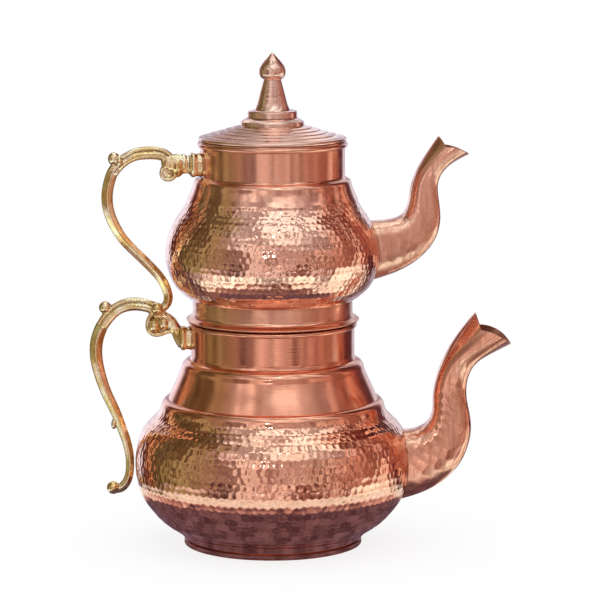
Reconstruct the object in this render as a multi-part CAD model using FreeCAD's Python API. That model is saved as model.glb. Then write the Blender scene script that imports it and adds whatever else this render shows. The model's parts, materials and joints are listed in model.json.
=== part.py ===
"""Stacked hammered copper tea set: a spouted kettle, a spouted teapot seated in the kettle's mouth, and a
stepped lid with a pointed finial. Both pots carry a cast brass scroll handle, screwed on at the neck and free
at its tail.

Frame: millimetres, +Z up, origin on the table at the centre of the kettle's foot, +X towards its spout.
Each sub-part is one solid, written to parts/NAME.step.
"""

import FreeCAD
import Part
import math
import os

Vector = FreeCAD.Vector

# ---------------------------------------------------------------- driving dimensions
wall = 1.0                  # sheet of both pots and spouts
lid_wall = 0.8              # sheet of the lid
solder_gap = 0.03           # film between soldered or seated faces
wire_gap = 0.03             # round a wire in its rolled bead
screw_gap = 0.12            # round a screw in its bore

kettle_foot_r = 62.1
kettle_belly_r = 97.3
kettle_belly_z = 56.0
kettle_neck_r = 57.6
kettle_neck_z = 134.2       # foot of the straight neck
kettle_bead_z = 156.4       # centre of the rolled rim
kettle_bead_out = 0.15      # how far that centre lies outside the neck

teapot_foot_r = 55.3
teapot_foot_z = 164.4
teapot_belly_r = 75.3
teapot_belly_z = 204.5
teapot_neck_r = 50.7
teapot_neck_z = 261.2
teapot_bead_z = 283.0
teapot_turn = 9.0           # degrees the teapot stands turned on the kettle, so that its handle clears

bead_r = 1.7                # outside of a rolled pot rim
rim_wire_r = 1.0
lid_bead_r = 1.4
lid_wire_r = 0.75

boss_r = 8.5                # round foot of a handle, on the neck
kettle_boss_z = 146.0
teapot_boss_z = 269.4
screw_r = 2.45
screw_head_r = 4.2
screw_head_t = 2.6
washer_r = 5.6
washer_t = 1.0
screw_grip = 11.0           # length of screw inside the boss
seat_play = 0.25            # between a skirt and the rim round it

knob_screw_r = 1.95
finial_tip_z = 347.0

outside = 400.0             # longer than anything on the object


# ---------------------------------------------------------------- curves and turned shapes
def flat(point):
    """A (radius, height) or (x, z) pair as a point of the XZ plane."""
    return Vector(point[0], 0, point[1])


def curve(points):
    """A line through two points, or one smooth curve through more."""
    if len(points) == 2:
        return Part.LineSegment(flat(points[0]), flat(points[1]))
    smooth = Part.BSplineCurve()
    smooth.interpolate([flat(p) for p in points])
    return smooth


def directions(points):
    """Unit directions of curve(points) at each of its points."""
    line = curve(points)
    if len(points) == 2:
        along = flat(points[1]) - flat(points[0])
        found = [along, along]
    else:
        found = [line.tangent(line.parameter(flat(p)))[0] for p in points]
    return [Vector(d).normalize() for d in found]


def inset(spans, depth):
    """The outline of joined spans, moved by depth to its left-hand side going from first to last."""
    ways = [directions(span) for span in spans]
    moved = []
    for number, span in enumerate(spans):
        new_span = []
        for place, point in enumerate(span):
            way = ways[number][place]
            other = way
            if place == 0 and number > 0:
                other = ways[number - 1][-1]
            if place == len(span) - 1 and number < len(spans) - 1:
                other = ways[number + 1][0]
            left, other_left = (-way.z, way.x), (-other.z, other.x)
            mean = ((left[0] + other_left[0]) / 2, (left[1] + other_left[1]) / 2)
            scale = depth / (mean[0] ** 2 + mean[1] ** 2)
            new_span.append((point[0] + mean[0] * scale, point[1] + mean[1] * scale))
        moved.append(new_span)
    return moved


def turned(edges):
    """A closed outline in the XZ plane, turned once round the Z axis."""
    face = Part.Face(Part.Wire(Part.__sortEdges__(edges)))
    return face.revolve(Vector(0, 0, 0), Vector(0, 0, 1), 360)


def turned_polygon(points):
    """A solid turned from a polygon of (radius, height) corners."""
    ring = points + points[:1]
    return turned([curve([a, b]).toShape() for a, b in zip(ring, ring[1:])])


def turned_sheet(spans, depth):
    """A sheet-metal shell turned from its outer outline, given from the bottom up, thickness inwards."""
    inner = inset(spans, depth)
    edges = [curve(span).toShape() for span in spans + inner]
    edges.append(curve([spans[0][0], inner[0][0]]).toShape())
    edges.append(curve([spans[-1][-1], inner[-1][-1]]).toShape())
    return turned(edges)


def turned_solid(spans):
    """A solid turned from an outline that starts and ends on the axis, or is closed by it."""
    first, last = spans[0][0], spans[-1][-1]
    edges = [curve(span).toShape() for span in spans]
    if first[0] > 0:
        edges.append(curve([(0, first[1]), first]).toShape())
    if last[0] > 0:
        edges.append(curve([last, (0, last[1])]).toShape())
    edges.append(curve([(0, last[1]), (0, first[1])]).toShape())
    return turned(edges)


def ring(middle_r, z, r):
    """A round ring of section radius r."""
    return Part.makeTorus(middle_r, r, Vector(0, 0, z), Vector(0, 0, 1))


def tube_ring(inner_r, outer_r, low, high):
    """A flat-ended ring between two radii and two heights."""
    outer = Part.makeCylinder(outer_r, high - low, Vector(0, 0, low))
    return outer.cut(Part.makeCylinder(inner_r, high - low, Vector(0, 0, low)))


def with_rolled_rim(shell, middle_r, z, r, wire_r, slit):
    """The shell with a bead rolled round a wire at its edge. slit is the thin gap at the tucked edge."""
    bead = ring(middle_r, z, r)
    return shell.fuse(bead).cut(ring(middle_r, z, wire_r + wire_gap)).cut(slit)


def one_solid(shape):
    """The largest solid of a boolean result, with needless seams removed."""
    return max(shape.removeSplitter().Solids, key=lambda s: s.Volume)


# ---------------------------------------------------------------- lofted shapes
def oval(middle, long_way, long_half, side_half, bulge=2.0):
    """Points of a closed section: long_half along long_way and side_half along Y. A bulge over 2 squares it."""
    around = 20
    points = []
    for step in range(around):
        angle = 2 * math.pi * step / around
        c, s = math.cos(angle), math.sin(angle)
        c = math.copysign(abs(c) ** (2 / bulge), c)
        s = math.copysign(abs(s) ** (2 / bulge), s)
        points.append(middle + long_way * (c * long_half) + Vector(0, s * side_half, 0))
    return points


def side_over(rings):
    """One smooth face through closed rings of points, and its two end wires in the order of the rings."""
    surface = Part.BSplineSurface()
    surface.interpolate([points + points[:1] for points in rings])
    side = surface.toShape()
    ends = [Part.Wire(edge) for edge in side.Edges if edge.isClosed()]
    ends.sort(key=lambda wire: wire.distToShape(Part.Vertex(rings[0][0]))[0])
    return side, ends


def closed_solid(faces):
    """A solid bounded by faces that meet edge to edge."""
    shell = Part.makeShell(faces)
    shell.sewShape()
    solid = Part.Solid(shell)
    if solid.Volume < 0:
        solid.reverse()
    return solid


def skin_over(rings):
    """A solid with one smooth side through closed rings of points, and a flat cap at each end."""
    side, ends = side_over(rings)
    return closed_solid([side] + [Part.Face(wire) for wire in ends])


def hollow_skin(outer_rings, inner_rings):
    """A tube between two smooth sides, with a flat ring at each end."""
    outer, outer_ends = side_over(outer_rings)
    inner, inner_ends = side_over(inner_rings)
    caps = [Part.makeFace([a, b], "Part::FaceMakerBullseye") for a, b in zip(outer_ends, inner_ends)]
    return closed_solid([outer, inner] + caps)


def spout_rings(sections, skin):
    """Rings of points for (back point, front point, half width) sections, skin inside their outline."""
    rings = []
    for back, front, half_width in sections:
        across = flat(front) - flat(back)
        middle = (flat(front) + flat(back)) / 2
        half = across.Length / 2 - skin
        rings.append(oval(middle, across.normalize(), half, half_width - skin))
    return rings


def above_mouth(back_tip, notch, crest, front_tip):
    """Everything above a swallow-tail mouth: seen from the side, its rim falls steeply from the back tip to the notch
    and runs in an arc over the crest to the front tip."""
    reach, rise = 25.0, 18.0
    corners = [(front_tip[0] + reach, front_tip[1] - rise / 3), (front_tip[0] + reach, outside),
               (back_tip[0] - reach, outside), (back_tip[0] - reach, back_tip[1] + rise)]
    edges = [curve([back_tip, notch]).toShape()]
    edges.append(Part.Arc(flat(notch), flat(crest), flat(front_tip)).toShape())
    path = [front_tip] + corners + [back_tip]
    edges += [curve([a, b]).toShape() for a, b in zip(path, path[1:])]
    face = Part.Face(Part.Wire(Part.__sortEdges__(edges)))
    face.translate(Vector(0, -outside / 2, 0))
    return face.extrude(Vector(0, outside, 0))


def hollow_spout(sections, mouth, pot_outside):
    """A spout with its root trimmed to the pot and its mouth cut. Returns it with the shape of its bore."""
    outer, inner = spout_rings(sections, 0), spout_rings(sections, wall)
    spout = hollow_skin(outer, inner).cut(above_mouth(*mouth)).cut(pot_outside)
    return one_solid(spout), skin_over(inner)


def scroll(points, half_depths, side_share):
    """A rod lofted along a curve in the XZ plane. half_depths are its half depths in that plane at each point,
    and side_share is its half width along Y as a share of them."""
    rings = []
    for point, way, half in zip(points, directions(points), half_depths):
        rings.append(oval(flat(point), Vector(-way.z, 0, way.x), half, half * side_share, 2.4))
    return skin_over(rings)


def scroll_handle(limb, limb_half, stem, stem_half, balls, boss_z, neck_r, pot_outside):
    """A cast handle: a round boss shaped to the pot, a stem, the long scroll, and balls at its turns. The boss
    has a blind bore for its screw."""
    side_share = 0.92
    boss_length = 8.0
    boss = Part.makeCylinder(boss_r, boss_length + 6, Vector(-neck_r - boss_length, 0, boss_z), Vector(1, 0, 0))
    body = boss.fuse([scroll(stem, stem_half, side_share), scroll(limb, limb_half, side_share)])
    body = body.fuse([Part.makeSphere(r, flat(at)) for at, r in balls])
    bore_depth = screw_grip + 1
    bore = Part.makeCylinder(screw_r + screw_gap, 2 * bore_depth, Vector(-neck_r - bore_depth, 0, boss_z),
                             Vector(1, 0, 0))
    return one_solid(body.cut(pot_outside).cut(bore))


def neck_screw(neck_r, boss_z):
    """A pan-head screw from inside the neck into the boss, and its washer. The washer bears on the curved wall."""
    inner_r = neck_r - wall
    seat_x = -math.sqrt(inner_r ** 2 - washer_r ** 2) + solder_gap
    outward = Vector(-1, 0, 0)
    head_x = seat_x + washer_t + solder_gap
    head = Part.makeCylinder(screw_head_r, screw_head_t, Vector(head_x + screw_head_t, 0, boss_z), outward)
    slot_depth, slot_half = 1.2, 0.6
    slot = Part.makeBox(slot_depth, 2 * slot_half, outside,
                        Vector(head_x + screw_head_t - slot_depth, -slot_half, 0))
    shank = Part.makeCylinder(screw_r, head_x + neck_r + screw_grip, Vector(head_x, 0, boss_z), outward)
    washer = Part.makeCylinder(washer_r, washer_t, Vector(seat_x + washer_t, 0, boss_z), outward)
    bore = Part.makeCylinder(screw_r + screw_gap, washer_t, Vector(seat_x + washer_t, 0, boss_z), outward)
    return one_solid(head.cut(slot).fuse(shank)), washer.cut(bore)


def neck_bore(neck_r, boss_z):
    """The hole through the neck for a handle's screw."""
    return Part.makeCylinder(screw_r + screw_gap, 8, Vector(-neck_r - 4, 0, boss_z), Vector(1, 0, 0))


def turned_with_teapot(shape):
    """The shape, turned about Z with the teapot."""
    return shape.rotated(Vector(0, 0, 0), Vector(0, 0, 1), teapot_turn)


# ---------------------------------------------------------------- kettle
kettle_seat_z = 0.85        # lower edge of the foot, inside the folded seam of the base
kettle_outline = [
    [(kettle_foot_r, kettle_seat_z), (kettle_foot_r, 3.5)],
    [(kettle_foot_r, 3.5), (65.8, 7.9), (71.5, 12.1), (77.6, 16.3), (85.8, 24.8), (93.2, 36),
     (kettle_belly_r, kettle_belly_z), (94.9, 74), (89.3, 84.6), (80.4, 94.4)],
    [(80.4, 94.4), (78.9, 99), (76.6, 102.2), (73.6, 103.9)],
    [(73.6, 103.9), (72.9, 105.6), (70.6, 111), (67.2, 118.4), (64.5, 125)],
    [(64.5, 125), (63.8, 127.9), (61.8, 130.4), (58.4, 132.2)],
    [(58.4, 132.2), (kettle_neck_r, kettle_neck_z)],
    [(kettle_neck_r, kettle_neck_z), (kettle_neck_r, kettle_bead_z - bead_r + 0.3)],
]

kettle_spout_sections = [
    ((82.0, 80.0), (80.0, 29.0), 19.2),
    ((90.0, 80.2), (93.0, 31.9), 18.9),
    ((98.5, 80.8), (106.5, 36.4), 18.4),
    ((106.0, 83.4), (119.5, 43.6), 17.5),
    ((110.6, 88.0), (130.5, 54.0), 16.4),
    ((112.6, 93.5), (137.4, 67.0), 15.0),
    ((113.1, 99.5), (140.3, 84.0), 13.4),
    ((113.2, 106.5), (137.6, 101.0), 12.0),
    ((115.0, 116.5), (137.2, 114.0), 11.5),
    ((118.6, 127.8), (141.8, 126.0), 12.6),
    ((125.6, 142.0), (153.5, 134.6), 15.3),
    ((134.5, 154.8), (166.8, 141.4), 17.3),
    ((144.0, 166.0), (179.0, 147.0), 17.8),
]
kettle_mouth = ((142.9, 163.0), (146.2, 153.6), (158.5, 149.9), (167.9, 142.0))

kettle_limb = [
    (-79.5, 161.3), (-85.0, 166.2), (-94.2, 169.4), (-104.5, 168.7), (-113.6, 163.0), (-121.4, 151.8),
    (-124.4, 137.7), (-122.6, 122.5), (-116.6, 105.2), (-108.9, 87.3), (-103.6, 71.6), (-101.9, 58.3),
    (-102.6, 47.6), (-106.6, 39.6), (-112.6, 37.9),
]
kettle_limb_half = [4.6, 4.4, 4.3, 4.4, 4.7, 4.7, 4.5, 4.1, 3.7, 3.4, 3.2, 3.1, 3.2, 3.4, 3.4]
kettle_stem = [(-60.0, kettle_boss_z), (-65.5, 146.9), (-70.0, 150.0), (-75.0, 155.2), (-79.6, 159.2)]
kettle_stem_half = [7.6, 6.6, 4.6, 5.9, 6.2]
kettle_balls = [((-83.6, 152.8), 6.0), ((-118.4, 167.6), 4.5), ((-113.4, 38.4), 4.9)]


def kettle():
    """The kettle's sub-parts by name."""
    bead_middle = kettle_neck_r + kettle_bead_out
    slit = tube_ring(kettle_neck_r + 0.02, kettle_neck_r + 0.32, kettle_bead_z - bead_r - 1, kettle_bead_z)
    shell = turned_sheet(kettle_outline, wall)
    body = with_rolled_rim(shell, bead_middle, kettle_bead_z, bead_r, rim_wire_r, slit)
    pot_outside = turned_solid(inset(kettle_outline, -solder_gap))
    spout, bore = hollow_spout(kettle_spout_sections, kettle_mouth, pot_outside)
    body = one_solid(body.cut(bore).cut(neck_bore(kettle_neck_r, kettle_boss_z)))
    screw, washer = neck_screw(kettle_neck_r, kettle_boss_z)

    fold, fold_h = 0.8, 3.2     # sheet of the base, and the height of its turned-up edge
    seam_r = kettle_foot_r + solder_gap
    base = turned_polygon([
        (0, 0), (seam_r + fold, 0), (seam_r + fold, fold_h), (seam_r, fold_h), (seam_r, fold), (0, fold),
    ])
    handle = scroll_handle(kettle_limb, kettle_limb_half, kettle_stem, kettle_stem_half, kettle_balls,
                           kettle_boss_z, kettle_neck_r, pot_outside)
    return {
        "kettle_body": body,
        "kettle_base_plate": base,
        "kettle_rim_wire": ring(bead_middle, kettle_bead_z, rim_wire_r),
        "kettle_spout": spout,
        "kettle_handle": handle,
        "kettle_handle_screw": screw,
        "kettle_handle_washer": washer,
    }


# ---------------------------------------------------------------- teapot
teapot_shelf_z = 174.4      # underside of the belly, over the collar
teapot_outline = [
    [(teapot_foot_r, teapot_foot_z), (teapot_foot_r, teapot_shelf_z)],
    [(teapot_foot_r, teapot_shelf_z), (57.6, teapot_shelf_z)],
    [(57.6, teapot_shelf_z), (61.8, 177.4), (66.6, 181.6), (71.8, 189.8), (teapot_belly_r, teapot_belly_z),
     (74.4, 214.6), (71.2, 224.2), (66.8, 232.4), (62.4, 238.8), (59.5, 245.2)],
    [(59.5, 245.2), (57.0, 251.0), (55.3, 256.2)],
    [(55.3, 256.2), (54.4, 258.4), (51.8, 259.8)],
    [(51.8, 259.8), (teapot_neck_r, teapot_neck_z)],
    [(teapot_neck_r, teapot_neck_z), (teapot_neck_r, teapot_bead_z - bead_r + 0.3)],
]

teapot_spout_sections = [
    ((64.0, 228.0), (63.0, 184.5), 16.3),
    ((72.5, 228.0), (77.0, 188.0), 16.0),
    ((80.5, 228.4), (88.5, 192.0), 15.5),
    ((88.0, 229.6), (99.5, 197.8), 14.7),
    ((93.4, 232.4), (109.2, 205.8), 13.7),
    ((96.0, 237.0), (116.4, 216.0), 12.4),
    ((97.4, 242.6), (119.4, 228.6), 11.3),
    ((98.4, 249.0), (118.4, 241.6), 10.4),
    ((100.2, 256.6), (117.6, 252.6), 10.0),
    ((104.0, 265.6), (121.2, 261.6), 10.8),
    ((109.2, 274.4), (129.4, 268.6), 12.8),
    ((115.0, 282.8), (140.0, 274.0), 14.5),
    ((121.5, 291.5), (150.5, 278.5), 14.7),
]
teapot_mouth = ((118.0, 287.2), (121.4, 280.2), (131.0, 278.4), (139.9, 273.9))

teapot_limb = [
    (-71.8, 268.0), (-78.8, 275.6), (-88.2, 278.0), (-97.4, 276.8), (-106.2, 271.9), (-113.0, 262.2),
    (-116.0, 248.8), (-114.6, 236.8), (-108.4, 223.2), (-98.6, 210.9), (-87.4, 199.2), (-78.6, 188.1),
    (-75.0, 179.2), (-75.8, 172.2), (-80.4, 168.9),
]
teapot_limb_half = [4.0, 4.3, 4.3, 4.2, 4.2, 4.3, 4.2, 3.9, 3.6, 3.5, 3.5, 3.4, 3.3, 3.1, 3.0]
teapot_stem = [(-53.0, 269.8), (-59.0, 269.6), (-63.0, 269.7), (-68.0, 270.0), (-75.2, 270.9)]
teapot_stem_half = [7.8, 7.0, 6.0, 7.2, 5.6]
teapot_balls = [((-74.2, 264.6), 5.4), ((-111.6, 273.8), 4.6), ((-81.6, 168.9), 4.4)]

strainer_hole_r = 1.8
strainer_rings = ((0.0, 1), (6.2, 6), (12.2, 12))       # ring radius and number of holes
strainer_z = 208.0


def strainer_holes():
    """Pouring holes through the wall behind the spout, in rings that are taller than they are wide."""
    holes = []
    for ring_r, count in strainer_rings:
        for number in range(count):
            angle = 2 * math.pi * number / count
            y, z = 0.82 * ring_r * math.cos(angle), ring_r * 1.12 * math.sin(angle)
            start = Vector(teapot_belly_r - 12, y, strainer_z + z)
            holes.append(Part.makeCylinder(strainer_hole_r, 20, start, Vector(1, 0, 0)))
    return holes


def teapot():
    """The teapot's sub-parts by name."""
    bead_middle = teapot_neck_r + 0.3
    slit = tube_ring(teapot_neck_r + 0.02, teapot_neck_r + 0.32, teapot_bead_z - bead_r - 1, teapot_bead_z)
    shell = turned_sheet(teapot_outline, wall)
    body = with_rolled_rim(shell, bead_middle, teapot_bead_z, bead_r, rim_wire_r, slit)
    pot_outside = turned_solid(inset(teapot_outline, -solder_gap))
    spout = hollow_spout(teapot_spout_sections, teapot_mouth, pot_outside)[0]
    body = one_solid(body.cut(strainer_holes()).cut(neck_bore(teapot_neck_r, teapot_boss_z)))
    screw, washer = neck_screw(teapot_neck_r, teapot_boss_z)

    disc_z, pan_h = teapot_foot_z + 0.3, 3.4
    pan_r = teapot_foot_r - wall - solder_gap
    base = turned_polygon([(0, disc_z), (pan_r, disc_z), (pan_r, disc_z + pan_h), (pan_r - 0.8, disc_z + pan_h),
                           (pan_r - 0.8, disc_z + 0.8), (0, disc_z + 0.8)])

    handle = scroll_handle(teapot_limb, teapot_limb_half, teapot_stem, teapot_stem_half, teapot_balls,
                           teapot_boss_z, teapot_neck_r, pot_outside)
    made = {
        "teapot_body": body,
        "teapot_base_plate": base,
        "teapot_collar": collar(),
        "teapot_rim_wire": ring(bead_middle, teapot_bead_z, rim_wire_r),
        "teapot_spout": spout,
        "teapot_handle": handle,
        "teapot_handle_screw": screw,
        "teapot_handle_washer": washer,
    }
    return {name: turned_with_teapot(shape) for name, shape in made.items()}


def collar():
    """The seat ring: a band round the teapot's foot that flares to a lip over the kettle's rim, and a skirt that
    goes down into the kettle's mouth."""
    band_in = teapot_foot_r + solder_gap
    band_out = band_in + 0.9
    band_top = teapot_shelf_z - solder_gap
    seat_z = kettle_bead_z + bead_r + solder_gap
    bead_inner_r = kettle_neck_r + kettle_bead_out - bead_r
    skirt_out = bead_inner_r - seat_play
    skirt_in = skirt_out - 0.9
    skirt_low = 152.2
    lip_r, lip_z = 60.9, 160.0
    edges = [curve(p).toShape() for p in (
        [(band_in, 163.2), (band_in, band_top)],
        [(band_in, band_top), (band_out, band_top)],
        [(band_out, band_top), (band_out, 165.2)],
        [(band_out, 165.2), (57.0, 163.0), (58.6, 161.6), (lip_r, lip_z + 0.5)],
        [(lip_r, lip_z + 0.5), (lip_r, lip_z - 0.5)],
        [(lip_r, lip_z - 0.5), (58.6, seat_z)],
        [(58.6, seat_z), (skirt_out, seat_z)],
        [(skirt_out, seat_z), (skirt_out, skirt_low)],
        [(skirt_out, skirt_low), (skirt_in, skirt_low)],
        [(skirt_in, skirt_low), (skirt_in, seat_z + 1.2)],
        [(skirt_in, seat_z + 1.2), (band_in, 163.2)],
    )]
    return turned(edges)


# ---------------------------------------------------------------- lid
lid_bead_z = 287.0
lid_bead_middle = 50.4
terrace_count = 5
terrace_outer_r = 49.6
ring_two_r = 22.2           # upper rim of the terraces: a sharp-edged disc
ring_two_z = (296.3, 299.0)
knob_seat_r = 17.0
knob_seat_z = 302.0
lid_skirt_low = 277.6


def lid_outline():
    """The lid's outer outline from its edge inwards: terraces, a sharp-edged disc, and a seat for the knob."""
    start_z = lid_bead_z + lid_bead_r - 0.1
    run = (terrace_outer_r - ring_two_r) / terrace_count
    rise = (ring_two_z[0] - start_z) / terrace_count
    riser = 0.34 * rise
    corners = [(terrace_outer_r + 0.9, start_z), (terrace_outer_r, start_z)]
    for step in range(terrace_count):
        r, z = terrace_outer_r - run * step, start_z + rise * step
        corners.append((r, z + riser))
        corners.append((r - run, z + rise))
    corners += [(ring_two_r, ring_two_z[1]), (knob_seat_r, knob_seat_z),
                (knob_screw_r + screw_gap, knob_seat_z)]
    return [[a, b] for a, b in zip(corners, corners[1:])]


def lid():
    """The lid's sub-parts by name."""
    spans = lid_outline()
    inner = [span[::-1] for span in inset(spans, lid_wall)][::-1]
    last, first = spans[-1][-1], spans[0][0]
    closing = [[last, inner[0][0]], [inner[-1][-1], first]]
    sheet = turned([curve(span).toShape() for span in spans + inner + closing])
    slit = tube_ring(lid_bead_middle - 1.6, lid_bead_middle - 0.3, lid_bead_z - 0.45, lid_bead_z - 0.15)
    shell = with_rolled_rim(sheet, lid_bead_middle, lid_bead_z, lid_bead_r, lid_wire_r, slit)

    seat_z = teapot_bead_z + bead_r + solder_gap
    skirt_out = teapot_neck_r - wall - 0.5
    skirt_in = skirt_out - lid_wall
    flange_top = lid_bead_z - lid_bead_r - solder_gap
    skirt = turned_polygon([
        (skirt_in, lid_skirt_low), (skirt_out, lid_skirt_low), (skirt_out, seat_z), (51.4, seat_z),
        (51.4, flange_top),
        (skirt_in, flange_top),
    ])

    base_z = knob_seat_z + solder_gap
    knob = turned_solid([
        [(17.4, base_z), (17.4, 306.2)],
        [(17.4, 306.2), (12.9, 306.9)],
        [(12.9, 306.9), (11.6, 309.0), (9.4, 316.0), (7.4, 323.4), (6.1, 328.4)],
        [(6.1, 328.4), (7.6, 329.2), (9.35, 332.9), (8.1, 338.0), (3.8, 343.3), (0, finial_tip_z)],
    ])
    grip = 12.0
    knob_bore = Part.makeCylinder(knob_screw_r + screw_gap, grip + 1, Vector(0, 0, base_z))

    under_z = knob_seat_z - lid_wall - solder_gap
    washer_low = under_z - 0.8
    washer = tube_ring(knob_screw_r + screw_gap, 4.6, washer_low, under_z)
    head_top = washer_low - solder_gap
    head = Part.makeCylinder(3.6, 2.2, Vector(0, 0, head_top - 2.2))
    slot = Part.makeBox(outside, 1.0, 1.0, Vector(-outside / 2, -0.5, head_top - 2.2))
    shank = Part.makeCylinder(knob_screw_r, base_z + grip - head_top, Vector(0, 0, head_top))
    return {
        "lid_shell": one_solid(shell),
        "lid_skirt": skirt,
        "lid_rim_wire": ring(lid_bead_middle, lid_bead_z, lid_wire_r),
        "lid_knob": one_solid(knob.cut(knob_bore)),
        "lid_knob_screw": one_solid(head.cut(slot).fuse(shank)),
        "lid_knob_washer": washer,
    }


# ---------------------------------------------------------------- files
def main():
    os.makedirs("parts", exist_ok=True)
    for made in (kettle(), teapot(), lid()):
        for name, shape in made.items():
            if shape.ShapeType != "Solid":
                shape = one_solid(shape)
            print(name, shape.isValid(), round(shape.Volume / 1000, 2), "cm3")
            shape.exportStep(f"parts/{name}.step")


main()
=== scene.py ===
"""Looks of the stacked hammered copper kettle and teapot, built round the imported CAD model.

Shapes are worked out in millimetres, in the frame of the CAD model, and become meshes in metres. The outlines
are those of the CAD parts, and heights of rims, seats and the finial come from the boxes of the CAD nodes.
"""

import json
import math

import bpy
import numpy as np
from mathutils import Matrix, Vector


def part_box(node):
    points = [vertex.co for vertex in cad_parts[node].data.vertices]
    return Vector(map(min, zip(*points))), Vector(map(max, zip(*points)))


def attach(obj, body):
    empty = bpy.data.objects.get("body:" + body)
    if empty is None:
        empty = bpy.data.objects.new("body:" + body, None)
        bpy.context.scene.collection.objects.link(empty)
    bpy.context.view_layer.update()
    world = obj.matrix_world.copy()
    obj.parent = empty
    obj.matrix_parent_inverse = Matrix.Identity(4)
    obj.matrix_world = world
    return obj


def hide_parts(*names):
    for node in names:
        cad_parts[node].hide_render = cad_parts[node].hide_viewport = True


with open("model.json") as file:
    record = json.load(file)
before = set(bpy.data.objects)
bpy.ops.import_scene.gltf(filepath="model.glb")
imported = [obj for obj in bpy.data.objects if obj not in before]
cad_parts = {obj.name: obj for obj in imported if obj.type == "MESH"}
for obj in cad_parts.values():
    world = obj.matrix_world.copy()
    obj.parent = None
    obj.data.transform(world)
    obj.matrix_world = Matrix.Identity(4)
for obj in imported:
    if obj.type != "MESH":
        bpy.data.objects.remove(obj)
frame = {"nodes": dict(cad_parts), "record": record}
scene = bpy.context.scene
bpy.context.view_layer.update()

MM = 0.001
wall = 1.0                  # sheet of both pots and spouts
lid_wall = 0.8
solder_gap = 0.03           # kept free between pieces that touch
teapot_turn = 9.0           # degrees the teapot stands turned on the kettle
bead_r = 1.7                # rolled rims of both pots
kettle_neck_r, kettle_bead_middle = 57.6, 57.75
teapot_neck_r, teapot_bead_middle = 50.7, 51.0
teapot_foot_r = 55.3
kettle_boss_z, teapot_boss_z = 146.0, 269.4     # where the handles' feet sit on the necks

stroke_wander = 0.085       # spread of the hammer strokes' places, in marks
stroke_depth_spread = 0.013     # and of their depths
middle_r = 85               # where half of a crest's height stands over the pot's outline
spout_hammer_r = 34.0       # radius of the hammer's face
spout_crest_mean, spout_crest_high, spout_crest_cap = 0.14, 0.3, 0.34     # crest heights on the spouts
spout_hammer_fade = 14      # length over which the spouts' hammering fades out
bore_behind, bore_ahead = 16, 2     # how far a spout's bore reaches behind and ahead of the pot's wall
steps_per_mark = 6          # mesh steps across one hammer mark
steps_up_mark = 5           # and up it
spout_steps_per_mark = 12
planished_step, plain_step, lining_step = 1.0, 1.6, 4.0     # mesh steps up the other stretches of wall
rod_step = 0.7              # mesh step along a cast handle's rods
casting_voxel = 0.42        # of the remesh that fuses a casting
curve_samples = 400         # points over which a curve's length is measured
sharpest_mitre = 0.35       # keeps an offset from shooting out at a sharp corner


def heights(node_name):
    """Lowest and highest point of a CAD node, in millimetres."""
    low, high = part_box(node_name)
    return low[2] / MM, high[2] / MM


kettle_top = heights("kettle_body")[1]
teapot_top = heights("teapot_body")[1]
lid_low, lid_high = heights("lid_shell")
knob_low, knob_high = heights("lid_knob")


# ---------------- curves
def distances(points):
    """Distance along straight lines from the first point to each point."""
    steps = np.linalg.norm(np.diff(points, axis=0), axis=1)
    return np.concatenate([[0.0], np.cumsum(steps)])


def curve_through(values, at):
    """A smooth function through rows of values at the places at. Two rows give a straight line."""
    values, at = np.array(values, float), np.array(at, float)
    gap = np.diff(at)
    chord = np.diff(values, axis=0) / gap[:, None]
    count = len(at)
    matrix, known = np.eye(count), np.zeros_like(values)
    known[0], known[-1] = chord[0], chord[-1]
    if count > 2:
        known[0] = chord[0] + (chord[0] - chord[1]) * gap[0] / (gap[0] + gap[1])
        known[-1] = chord[-1] + (chord[-1] - chord[-2]) * gap[-1] / (gap[-1] + gap[-2])
    for i in range(1, count - 1):
        matrix[i, i - 1:i + 2] = gap[i], 2 * (gap[i - 1] + gap[i]), gap[i - 1]
        known[i] = 3 * (gap[i] * chord[i - 1] + gap[i - 1] * chord[i])
    slope = np.linalg.solve(matrix, known)

    def value(places):
        places = np.asarray(places, float)
        i = np.clip(np.searchsorted(at, places, side="right") - 1, 0, count - 2)
        h = gap[i][..., None]
        s = ((places - at[i])[..., None]) / h
        return (values[i] * (1 + 2 * s) * (1 - s) ** 2 + slope[i] * h * s * (1 - s) ** 2
                + values[i + 1] * s * s * (3 - 2 * s) + slope[i + 1] * h * s * s * (s - 1))
    return value


def even_points(points, count):
    """count points, evenly spaced, on the smooth curve through the points."""
    points = np.array(points, float)
    at = distances(points)
    fine = curve_through(points, at)(np.linspace(0, at[-1], curve_samples))
    length = distances(fine)
    wanted = np.linspace(0, length[-1], count)
    return np.stack([np.interp(wanted, length, fine[:, i]) for i in range(points.shape[1])], axis=1)


def spaced_points(points, step):
    """Points about step apart on the smooth curve through the points."""
    return even_points(points, max(2, int(math.ceil(distances(np.array(points, float))[-1] / step)) + 1))


def joined(runs):
    """One line of points from runs that share their end points."""
    return np.concatenate([runs[0]] + [run[1:] for run in runs[1:]])


def left_of(points):
    """Vectors to the left of a line of points, mitred so that an offset by them keeps a sheet's thickness."""
    way = np.diff(points, axis=0)
    way /= np.linalg.norm(way, axis=1)[:, None]
    left = np.stack([-way[:, 1], way[:, 0]], axis=1)
    mean = np.concatenate([left[:1], (left[1:] + left[:-1]) / 2, left[-1:]])
    return mean / np.maximum((mean ** 2).sum(axis=1), sharpest_mitre)[:, None]


def rounded(points, size):
    """The line of points with each inner corner rounded over size, or over most of half a short side."""
    points = np.array(points, float)
    made = [points[0]]
    for before, corner, after in zip(points, points[1:], points[2:]):
        back, on = before - corner, after - corner
        start = corner + back * min(size / np.linalg.norm(back), 0.45)
        end = corner + on * min(size / np.linalg.norm(on), 0.45)
        for t in np.linspace(0, 1, 4):
            made.append(start * (1 - t) ** 2 + corner * 2 * t * (1 - t) + end * t * t)
    return np.array(made + [points[-1]])


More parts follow.
